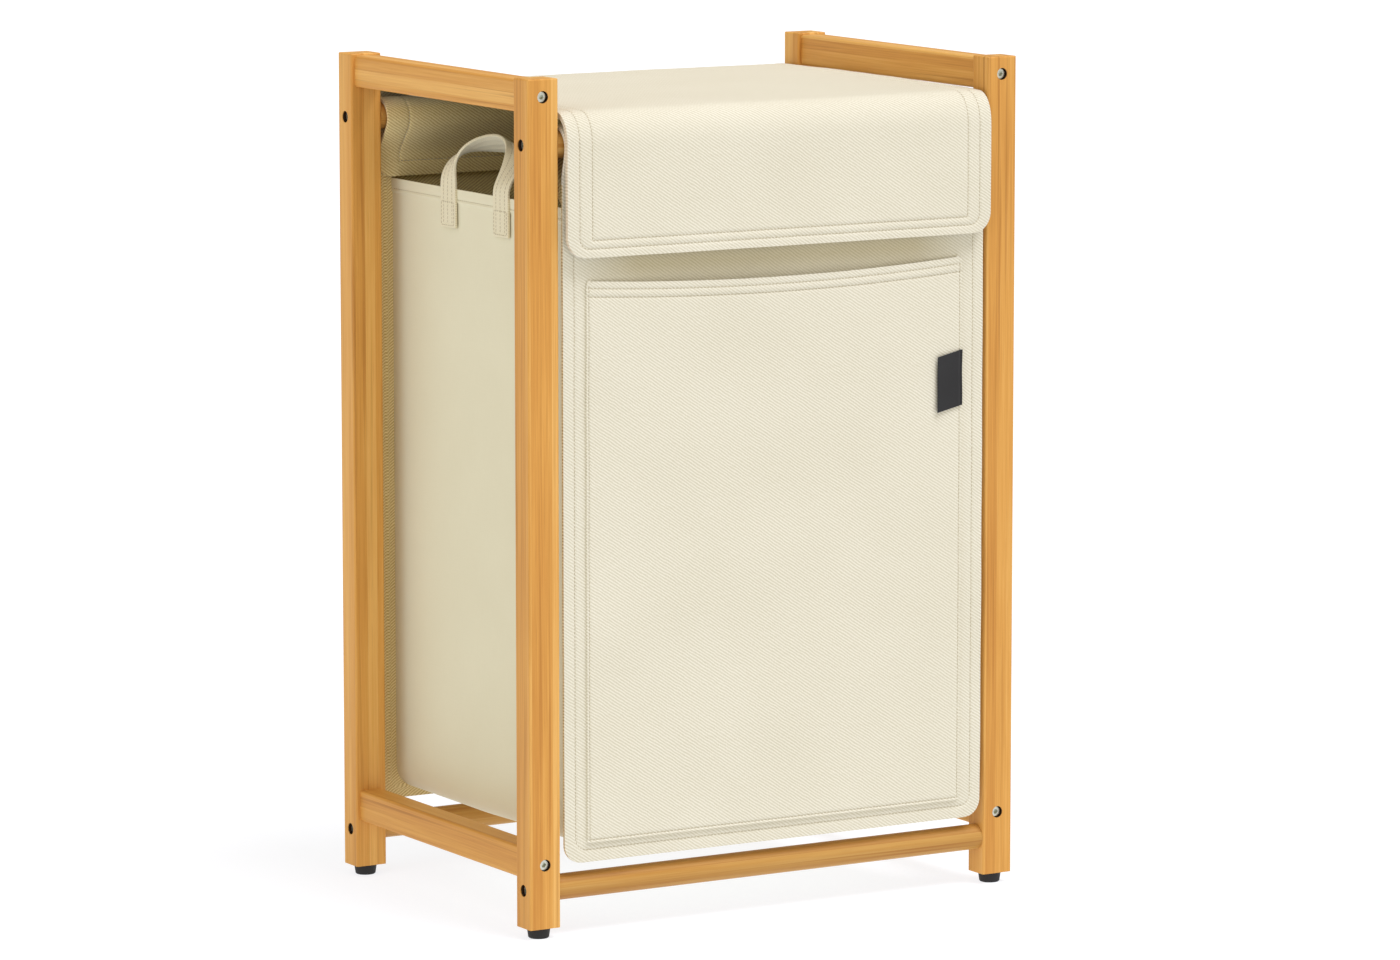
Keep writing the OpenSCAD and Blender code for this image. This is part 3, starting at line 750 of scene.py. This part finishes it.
def panel_lift(x, s):
    length = PANEL_PATH.length
    border = row_distance(x, s, PANEL_HALF, BORDER_ROW, BORDER_ROW, BORDER_ROUND)
    tail_s = length - s
    tail = row_distance(x, tail_s, PANEL_HALF, TAIL_SIDE_ROW, TAIL_LOW_ROW, SQUARE_ROUND)
    on_tail = np.clip((s - STRAIGHT_END - 45 * MM) / (20 * MM), 0, 1)
    lift = groove(border) * (1 - on_tail) + groove(tail) * on_tail
    flat_share = np.clip((STRAIGHT_END - s) / (60 * MM), 0, 1)
    lift = lift + flat_share * front_drift(x, s)
    flare = np.clip((np.abs(x) - PANEL_HALF + 14 * MM) / (14 * MM), 0, 1) ** 2
    return lift - flare * 0.5 * MM


def front_surface(x, s):
    u, z = PANEL_PATH.lay(s, panel_lift(x, s))
    return x, -u, z


def rear_surface(x, s):
    u, z = PANEL_PATH.lay(s, panel_lift(x, s))
    return -x, u, z


def build_panels():
    length = PANEL_PATH.length
    across = sides(PANEL_W, (BORDER_ROW, TAIL_SIDE_ROW))
    along = places(
        length, (BORDER_ROW,), (TAIL_LOW_ROW,), spans=((STRAIGHT_END - 10 * MM, length - 18 * MM, 3 * MM),)
    )
    border = lower_row(PANEL_HALF, STRAIGHT_END + 60 * MM, BORDER_ROW, BORDER_ROW, BORDER_ROUND)
    tail = lower_row(PANEL_HALF, 95 * MM, TAIL_SIDE_ROW, TAIL_LOW_ROW, SQUARE_ROUND)
    rows = [border, [(x, length - s) for x, s in tail]]

    def trim(x, s):
        return rounded(x, s, PANEL_HALF, length, PANEL_ROUND, TAIL_ROUND)

    for side, surface in (("front", front_surface), ("rear", rear_surface)):
        piece = cloth(f"{side}_panel_cloth", across, along, surface, PANEL_T, trim)
        dress(piece, "root", PANEL_CANVAS, (f"{side}_panel", f"{side}_loop"))
        sewn = stitching(f"{side}_panel_stitches", rows, surface)
        dress(sewn, "root", THREAD)


# ---- gusset: sides and floor of the bag in one strip ----


def gusset_path():
    x, top, low = WALL_X, WALL_HIGH.z, FLOOR_LOW.z
    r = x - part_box("bottom_board")[1].x
    return Path(
        straight((-x, top), (-x, low + r))
        + arc((-x + r, low + r), (r, r), 180, 270)
        + straight((-x + r, low), (x - r, low))
        + arc((x - r, low + r), (r, r), 270, 360)
        + straight((x, low + r), (x, top))
        + [np.array((x, top))]
    )


GUSSET_PATH = gusset_path()
GUSSET_HALF = WALL_HIGH.y
GUSSET_T = 1.6 * MM
HEM_H = 11 * MM
HEM_T = 1.2 * MM
HEM_ROW = 9 * MM
BELLY = 3.2 * MM  # how far the side walls hang in at their middle


def gusset_lift(y, s):
    end = np.minimum(s, GUSSET_PATH.length - s)
    hem = HEM_T * np.clip((HEM_H + 1.5 * MM - end) / (1.5 * MM), 0, 1)
    middle_share = np.cos(np.clip(y / GUSSET_HALF, -1, 1) * math.pi / 2)
    wall = np.sin(np.clip((end - 20 * MM) / (500 * MM), 0, 1) * math.pi)
    sag = -BELLY * middle_share * wall
    slack = ripple(y, s, 0.9 * MM, 0.24, 2.1) * middle_share * np.clip(end / (60 * MM), 0, 1)
    return hem + sag + slack + groove(end - HEM_ROW, 0.5 * MM, 1.0 * MM)


def gusset_surface(y, s):
    x, z = GUSSET_PATH.lay(s, gusset_lift(y, s))
    return x, y, z


def build_gusset():
    length, width = GUSSET_PATH.length, 2 * GUSSET_HALF
    wall = WALL_HIGH.z - FLOOR_HIGH.z
    across = places(width, step=11 * MM) - GUSSET_HALF
    corner = (wall - 6 * MM, wall + 40 * MM, 3 * MM)
    along = places(
        length, (HEM_ROW, HEM_H), (HEM_ROW, HEM_H), step=12 * MM,
        spans=(corner, (length - corner[1], length - corner[0], 3 * MM)),
    )
    piece = cloth("gusset_cloth", across, along, gusset_surface, GUSSET_T, edge=0.6 * MM)
    dress(piece, "root", LINING, ("left_gusset", "right_gusset", "bottom_gusset"))
    inner = GUSSET_HALF - 3 * MM
    rows = [[(-inner, at), (inner, at)] for at in (HEM_ROW, length - HEM_ROW)]
    dress(stitching("gusset_stitches", rows, gusset_surface), "root", THREAD)


# ---- pocket and label ----

POCKET_MID = (POCKET_LOW.x + POCKET_HIGH.x) / 2
POCKET_HALF = (POCKET_HIGH.x - POCKET_LOW.x) / 2
POCKET_H = POCKET_HIGH.z - POCKET_LOW.z
POCKET_T = 2 * MM
MOUTH_SAG = 6 * MM
MOUTH_OPEN = 8 * MM
LABEL_DROOP = 5 * MM


def pocket_surface(x, s):
    """x from the pocket's middle, s up from its bottom seam; the mouth sags and stands open."""
    arch = 1 - np.clip(np.abs(x) / POCKET_HALF, 0, 1) ** 2
    share = s / POCKET_H
    z = POCKET_LOW.z + s - MOUTH_SAG * arch * share**3
    gap = MOUTH_OPEN * arch * share
    from_side = POCKET_HALF - np.abs(x)
    lift = groove(from_side - POCKET_EDGE_ROW, 0.6 * MM, 0.8 * MM)
    lift = lift + groove(s - POCKET_EDGE_ROW, 0.6 * MM, 0.8 * MM)
    for row in POCKET_HEM_ROWS:
        lift = lift + groove(POCKET_H - s - row, 0.55 * MM, 1.1 * MM)
    hem = np.clip((s - POCKET_H + POCKET_HEM_ROWS[1]) / (2 * MM), 0, 1) * 0.5 * MM
    drift = front_drift(x + POCKET_MID, s + POCKET_LOW.z - PANEL_LOW.z)
    out = PANEL_HIGH.y + POCKET_T + gap + lift + hem + drift
    return x + POCKET_MID, -out, z


def build_pocket():
    width = 2 * POCKET_HALF
    across = sides(width, (POCKET_EDGE_ROW,))
    along = places(POCKET_H, (POCKET_EDGE_ROW,), POCKET_HEM_ROWS)

    def trim(x, s):
        return rounded(x, s, POCKET_HALF, POCKET_H, 2 * MM, 4 * MM)

    piece = cloth("pocket_cloth", across, along, pocket_surface, POCKET_T, trim, edge=0.8 * MM)
    dress(piece, "root", CANVAS, ("front_pocket",))
    inner = POCKET_HALF - POCKET_EDGE_ROW
    rows = [[(-inner, POCKET_H - row), (inner, POCKET_H - row)] for row in POCKET_HEM_ROWS]
    rows.append(lower_row(POCKET_HALF, POCKET_H - 3 * MM, POCKET_EDGE_ROW, POCKET_EDGE_ROW, 0.6 * MM))
    dress(stitching("pocket_stitches", rows, pocket_surface), "root", THREAD)


def build_label():
    """A folded black ribbon caught in the pocket's right seam."""
    low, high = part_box("side_label")
    width, height = high.x - low.x, high.z - low.z - LABEL_DROOP
    seam_x = high.x

    def surface(x, s):
        at = seam_x - width / 2 + x
        share = (x + width / 2) / width
        z = low.z + s + LABEL_DROOP * share
        on_pocket = pocket_surface(at - POCKET_MID, z - POCKET_LOW.z)
        lift = 1.5 * MM + 1.4 * MM * (1 - share) ** 2 + 0.25 * MM * np.sin(s * 160)
        return at, on_pocket[1] - lift, z

    across = places(width, step=2 * MM) - width / 2
    along = places(height, step=3 * MM)
    piece = cloth("side_label_ribbon", across, along, surface, 0.9 * MM, edge=0.35 * MM)
    dress(piece, "root", LABEL, ("side_label",))


# ---- lid ----

LID_T = 10.4 * MM
FLAP_T = 5 * MM
EDGE_T = 3.6 * MM
LID_HALF = LID_W / 2
FLAP_ROUND = 18 * MM
FOLD_FROM = (-ROD.y, LID_HIGH.z)
CROWN = 1.4 * MM  # how far the middle of the top swells


def lid_path():
    """Upper face of the lid: up the flap, over the fold and back to the rear edge."""
    rise = LID_HIGH.z - LOOP_Z
    thick = LID_HIGH.z - LID_LOW.z - 1 * MM
    return Path(
        straight((FLAP_OUT, FLAP_LOW.z), (FLAP_OUT, LOOP_Z))
        + arc((ROD.y, LOOP_Z), (FLAP_OUT - ROD.y, rise), 0, 90, square=2.3)
        + straight((ROD.y, LID_HIGH.z), (-ROD.y, LID_HIGH.z))
        + arc((-ROD.y, LID_HIGH.z - thick), (LID_HIGH.y - ROD.y, thick), 90, 172, square=2.3)
        + [np.array((-LID_HIGH.y + 0.1 * MM, LID_LOW.z + 2 * MM))]
    )


LID_PATH = lid_path()
FLAP_LENGTH = LOOP_Z - FLAP_LOW.z
FOLD_END = LID_PATH.reach(ROD.y)
ROLL_FROM = LID_PATH.reach(-ROD.y)


def lid_lift(x, s):
    top = np.clip((s - FOLD_END) / (ROLL_FROM + 10 * MM - FOLD_END), 0, 1)
    crown = CROWN * np.sin(top * math.pi) ** 0.6
    flap = np.clip(1 - s / (FLAP_LENGTH + 8 * MM), 0, 1)
    flare = ripple(x, s, 0.9 * MM, 0.19, 4.0) * flap
    lift = crown + flare + ripple(x, s, 0.35 * MM, 0.17, 1.2)
    for side, low, corner in LID_ROWS:
        lift = lift + groove(row_distance(x, s, LID_HALF, side, low, corner))
    edge = np.clip((np.abs(x) - LID_HALF + 9 * MM) / (9 * MM), 0, 1) ** 2
    return lift - edge * 0.6 * MM


def lid_surface(x, s):
    u, z = LID_PATH.lay(s, lid_lift(x, s))
    return x, -u, z


def build_lid():
    length = LID_PATH.length
    across = sides(LID_W, [row[0] for row in LID_ROWS])
    front_fold = (FLAP_LENGTH - 12 * MM, FOLD_END + 10 * MM, 2.5 * MM)
    rear_roll = (ROLL_FROM, length, 2 * MM)
    along = places(length, [row[1] for row in LID_ROWS], spans=(front_fold, rear_roll))

    def trim(x, s):
        return rounded(x, s, LID_HALF, length, FLAP_ROUND)

    def padding(x, s):
        inside = np.minimum(LID_HALF - np.abs(x), ROLL_FROM + 12 * MM - s)
        core = np.clip((inside - 12 * MM) / (12 * MM), 0, 1)
        on_top = np.clip((s - FOLD_END + 6 * MM) / (14 * MM), 0, 1)
        thick = FLAP_T + (EDGE_T - FLAP_T) * on_top + (LID_T - EDGE_T) * core * on_top
        return thick / LID_T

    fold = ("lid", "lid_flap", (0, FOLD_FROM[0] + 4 * MM, FOLD_FROM[1]), (0, -FLAP_OUT, LOOP_Z))
    piece = cloth("lid_cloth", across, along, lid_surface, LID_T, trim, padding)
    dress(piece, fold, CANVAS, ("lid_top", "lid_front_flap"))
    rows = [lower_row(LID_HALF, length - 4 * MM, *row) for row in LID_ROWS]
    dress(stitching("lid_stitches", rows, lid_surface), fold, THREAD)


def build_rear_seam():
    """The lid's rear edge, turned down and sewn to the back of the rear loop."""
    back, row = LID_HIGH.y, 4 * MM
    low_edge = (ROD.y + LOOP_R + 0.6 * MM, LOOP_Z - 14 * MM)
    on_loop = (ROD.y + LOOP_R + 1.9 * MM, LOOP_Z)
    at_lid = (back - 0.3 * MM, LID_LOW.z + 3.5 * MM)
    path = Path(bend(low_edge, on_loop, 10) + bend(on_loop, at_lid, 14) + [np.array(at_lid)])

    def surface(x, s):
        u, z = path.lay(s, groove(s - row, 0.4 * MM, 1 * MM) + 0 * x)
        return -x, u, z

    hinge = ("root", "lid", (0, back, LOOP_Z + 8 * MM), (0, back, LID_LOW.z + 1 * MM))
    across = sides(LID_W, ())
    along = places(path.length, (row,), step=2 * MM)
    piece = cloth("lid_rear_seam_cloth", across, along, surface, 1.6 * MM, edge=0.6 * MM)
    dress(piece, hinge, CANVAS, ("lid_rear_seam",))
    half = LID_HALF - 3 * MM
    sewn = stitching("rear_seam_stitches", [[(-half, row), (half, row)]], surface)
    dress(sewn, "root", THREAD)


# ---- webbing handles ----

STRAP_W = 26 * MM
STRAP_T = STRAP_HIGH.x - STRAP_LOW.x
STRAP_X = (STRAP_LOW.x + STRAP_HIGH.x) / 2
SPAN = STRAP_HIGH.y - STRAP_LOW.y - STRAP_W
HANDLE_Y = (STRAP_HIGH.y + STRAP_LOW.y) / 2
PIVOT_Z = SWING["pos_m"][2]
RISE_FROM = PIVOT_Z + 1.3 * MM
RISE = 38 * MM
LEAN_IN = 29 * MM  # how far the middle of the arch stands in over the bag
SWAY = 0.65  # share by which the front half leans in more than the rear half
SHOULDER = 0.3  # fullness of the arch's shoulders
LEAN = 38  # degrees that the webbing's face leans at the top
TWIST_LATE = 1.7  # the higher, the closer to the top the webbing twists
STRAP_ROWS = (-7.5 * MM, 0.0, 7.5 * MM)
SEWN_BOX = 22 * MM  # length of the boxes of stitches that hold the ends
SEWN_POINTS = 14  # points of the middle line along each sewn end


def strap_middle(angle):
    """Middle of the loose strap at an angle of its arch, 0 at the rear end."""
    c, s = math.cos(angle), math.sin(angle)
    return Vector((
        STRAP_X - LEAN_IN * s * s * (1 - SWAY * c),
        HANDLE_Y + SPAN / 2 * c * (1 + SHOULDER * s * s),
        RISE_FROM + RISE * s,
    ))


def strap_frames(count=90):
    """Points of the strap's middle line with the directions of its width and face, end to end."""
    sewn = RISE_FROM - STRAP_LOW.z
    points, widths = [], []
    for i in range(SEWN_POINTS):
        points.append((STRAP_X, HANDLE_Y + SPAN / 2, STRAP_LOW.z + sewn * i / SEWN_POINTS))
        widths.append((0, 1, 0))
    for i in range(count + 1):
        angle = math.pi * i / count
        c = math.cos(angle)
        points.append(tuple(strap_middle(angle)))
        step = math.radians(1)
        along = (strap_middle(angle + step) - strap_middle(angle - step)).normalized()
        out = Vector((0, c, math.sin(angle)))
        level = (out - out.dot(along) * along).normalized()
        turn = math.radians(90 + (90 + LEAN) * (1 - abs(c) ** TWIST_LATE))
        widths.append(tuple(math.cos(turn) * level.cross(along) + math.sin(turn) * level))
    for i in reversed(range(SEWN_POINTS)):
        points.append((STRAP_X, HANDLE_Y - SPAN / 2, STRAP_LOW.z + sewn * i / SEWN_POINTS))
        widths.append((0, -1, 0))
    points, widths = np.array(points), np.array(widths)
    run = np.concatenate([[0], np.cumsum(np.linalg.norm(np.diff(points, axis=0), axis=1))])
    along = np.gradient(points, run, axis=0)
    along /= np.linalg.norm(along, axis=1)[:, None]
    widths -= (widths * along).sum(1)[:, None] * along
    widths /= np.linalg.norm(widths, axis=1)[:, None]
    return run, points, widths, np.cross(widths, along)


STRAP_RUN, STRAP_POINTS, STRAP_WIDTHS, STRAP_FACES = strap_frames()


def strap_surface(side):
    """side is 1 for the right handle and -1 for the left one."""

    def surface(x, s):
        def read(table, k):
            return np.interp(s, STRAP_RUN, table[:, k])

        lift = STRAP_T / 2 + 0.35 * MM * np.cos(np.clip(x / STRAP_W, -0.5, 0.5) * math.pi)
        for row in STRAP_ROWS:
            lift = lift + groove(x - row, 0.35 * MM, 0.9 * MM)
        px, py, pz = (
            read(STRAP_POINTS, k) + x * side * read(STRAP_WIDTHS, k) + lift * read(STRAP_FACES, k)
            for k in range(3)
        )
        return side * px, py, pz

    return surface


def build_handles():
    length = STRAP_RUN[-1]
    near = (-3, -1, 0, 1, 3)
    lines = [row + k * 0.5 * MM for row in STRAP_ROWS for k in near] + [-STRAP_W / 2, STRAP_W / 2]
    lines += [side * (STRAP_W / 2 - k * MM) for side in (-1, 1) for k in (0.7, 2)]
    across = np.array(sorted(lines))
    along = places(length, step=3 * MM)
    for side, name in ((-1, "left_handle"), (1, "right_handle")):
        surface = strap_surface(side)
        fixed, loose = ((side * STRAP_X, 0, z) for z in (PIVOT_Z - 4 * MM, PIVOT_Z + 5 * MM))
        bend_over = ("root", name, fixed, loose)
        piece = cloth(f"{name}_strap", across, along, surface, STRAP_T + 0.5 * MM, edge=0.7 * MM)
        dress(piece, bend_over, WEBBING, (name, f"{name}_ends"))
        rows = [[(row, 3 * MM), (row, length - 3 * MM)] for row in STRAP_ROWS]
        w = STRAP_W / 2 - 2.2 * MM
        for start, end in ((2 * MM, SEWN_BOX), (length - 2 * MM, length - SEWN_BOX)):
            rows.append([(-w, start), (w, start), (w, end), (-w, end), (-w, start)])
        dress(stitching(f"{name}_stitches", rows, surface), bend_over, THREAD)


# ---- small inner pieces ----


def build_board():
    """Stiffening board in the bottom, covered with the lining cloth."""
    low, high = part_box("bottom_board")
    half = Vector((high.x - low.x, high.y - low.y, 0)) / 2
    inset = 6 * MM  # row of stitches in from the edge

    def surface(x, s):
        y = s - half.y
        sag = ripple(x, y, 0.3 * MM, 0.15, 0.4)
        distance = np.minimum(half.x - np.abs(x), half.y - np.abs(y))
        return x, y, high.z + sag + groove(distance - inset, 0.3 * MM, 1 * MM)

    def trim(x, s):
        return rounded(x, s, half.x, 2 * half.y, 12 * MM, 12 * MM)

    across = sides(2 * half.x, (inset,))
    along = places(2 * half.y, (inset,), (inset,))
    piece = cloth("bottom_board_cover", across, along, surface, high.z - low.z, trim)
    dress(piece, "root", LINING, ("bottom_board",))
    x, far = half.x - inset, 2 * half.y - inset
    rows = [[(-x, inset), (x, inset), (x, far), (-x, far), (-x, inset)]]
    dress(stitching("board_stitches", rows, surface), "root", THREAD)


def build_tapes():
    """Hook and loop strips between each tail and its panel."""
    near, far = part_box("loop_tapes")
    width, low, height = far.x - near.x, near.z, far.z - near.z
    hem = 1.5 * MM
    for side, turn in (("front", -1), ("rear", 1)):
        for kind, face in (("loop", PANEL_LOW.y - 1.9 * MM), ("hook", PANEL_LOW.y - 3.9 * MM)):

            def surface(x, s, face=face, turn=turn):
                edge = np.minimum(s, height - s)
                return turn * x, turn * (face + groove(edge - hem, 0.2 * MM, 0.8 * MM)), low + s

            across = places(width, step=8 * MM) - width / 2
            along = places(height, (hem,), (hem,), step=3 * MM)
            piece = cloth(f"{side}_{kind}_tape", across, along, surface, 1.7 * MM, edge=0.5 * MM)
            dress(piece, "root", TAPE, (f"{kind}_tapes",))


# ---- studio ----

CAMERA_PLACE = (-2.876, -4.848, 1.1705)
CAMERA_AIM = (0.0200, -0.0065, 0.3497)
LENS = 169.1


def studio():
    deselect()
    bpy.ops.mesh.primitive_plane_add(size=80, location=(0, 0, 0))
    floor = bpy.context.object
    floor.name = "studio_floor"
    f = Finish("studio_white", Roughness=0.9, Specular_IOR_Level=0.0, Emission_Strength=0.78)
    f.shader.inputs["Emission Color"].default_value = (0.98, 1.0, 1.05, 1)
    clouds = f.noise(f.vector(*f.where()), 3.0)
    paint(floor, f.feed(Base_Color=f.mix(clouds, (0.30, 0.30, 0.30), (0.31, 0.31, 0.31))))

    world = bpy.data.worlds.new("studio_world")
    bpy.context.scene.world = world
    world.use_nodes = True
    sky = world.node_tree.nodes["Background"]
    sky.inputs["Color"].default_value = (1.0, 0.87, 0.62, 1)
    sky.inputs["Strength"].default_value = 0.5

    def lamp(name, power, tint, angle, aim):
        data = bpy.data.lights.new(name, "SUN")
        data.energy = power
        data.color = tint
        data.angle = math.radians(angle)
        light = bpy.data.objects.new(name, data)
        light.rotation_euler = Vector(aim).to_track_quat("-Z", "Y").to_euler()
        bpy.context.scene.collection.objects.link(light)

    lamp("key", power=2.25, tint=(0.96, 0.99, 1.12), angle=30, aim=(-0.25, 0.40, -1.0))
    lamp("fill", power=0.66, tint=(0.93, 1.0, 1.1), angle=50, aim=(0.9, 0.42, -0.6))

    camera_data = bpy.data.cameras.new("camera")
    camera_data.sensor_width = 36
    camera_data.lens = LENS
    camera_data.clip_end = 200
    camera = bpy.data.objects.new("camera", camera_data)
    camera.location = CAMERA_PLACE
    aim = Vector(CAMERA_AIM) - camera.location
    camera.rotation_euler = aim.to_track_quat("-Z", "Y").to_euler()
    bpy.context.scene.collection.objects.link(camera)
    bpy.context.scene.camera = camera
    bpy.context.scene.view_settings.view_transform = "Standard"


studio()
paint_frame()
build_panels()
build_gusset()
build_pocket()
build_label()
build_lid()
build_rear_seam()
build_handles()
build_board()
build_tapes()
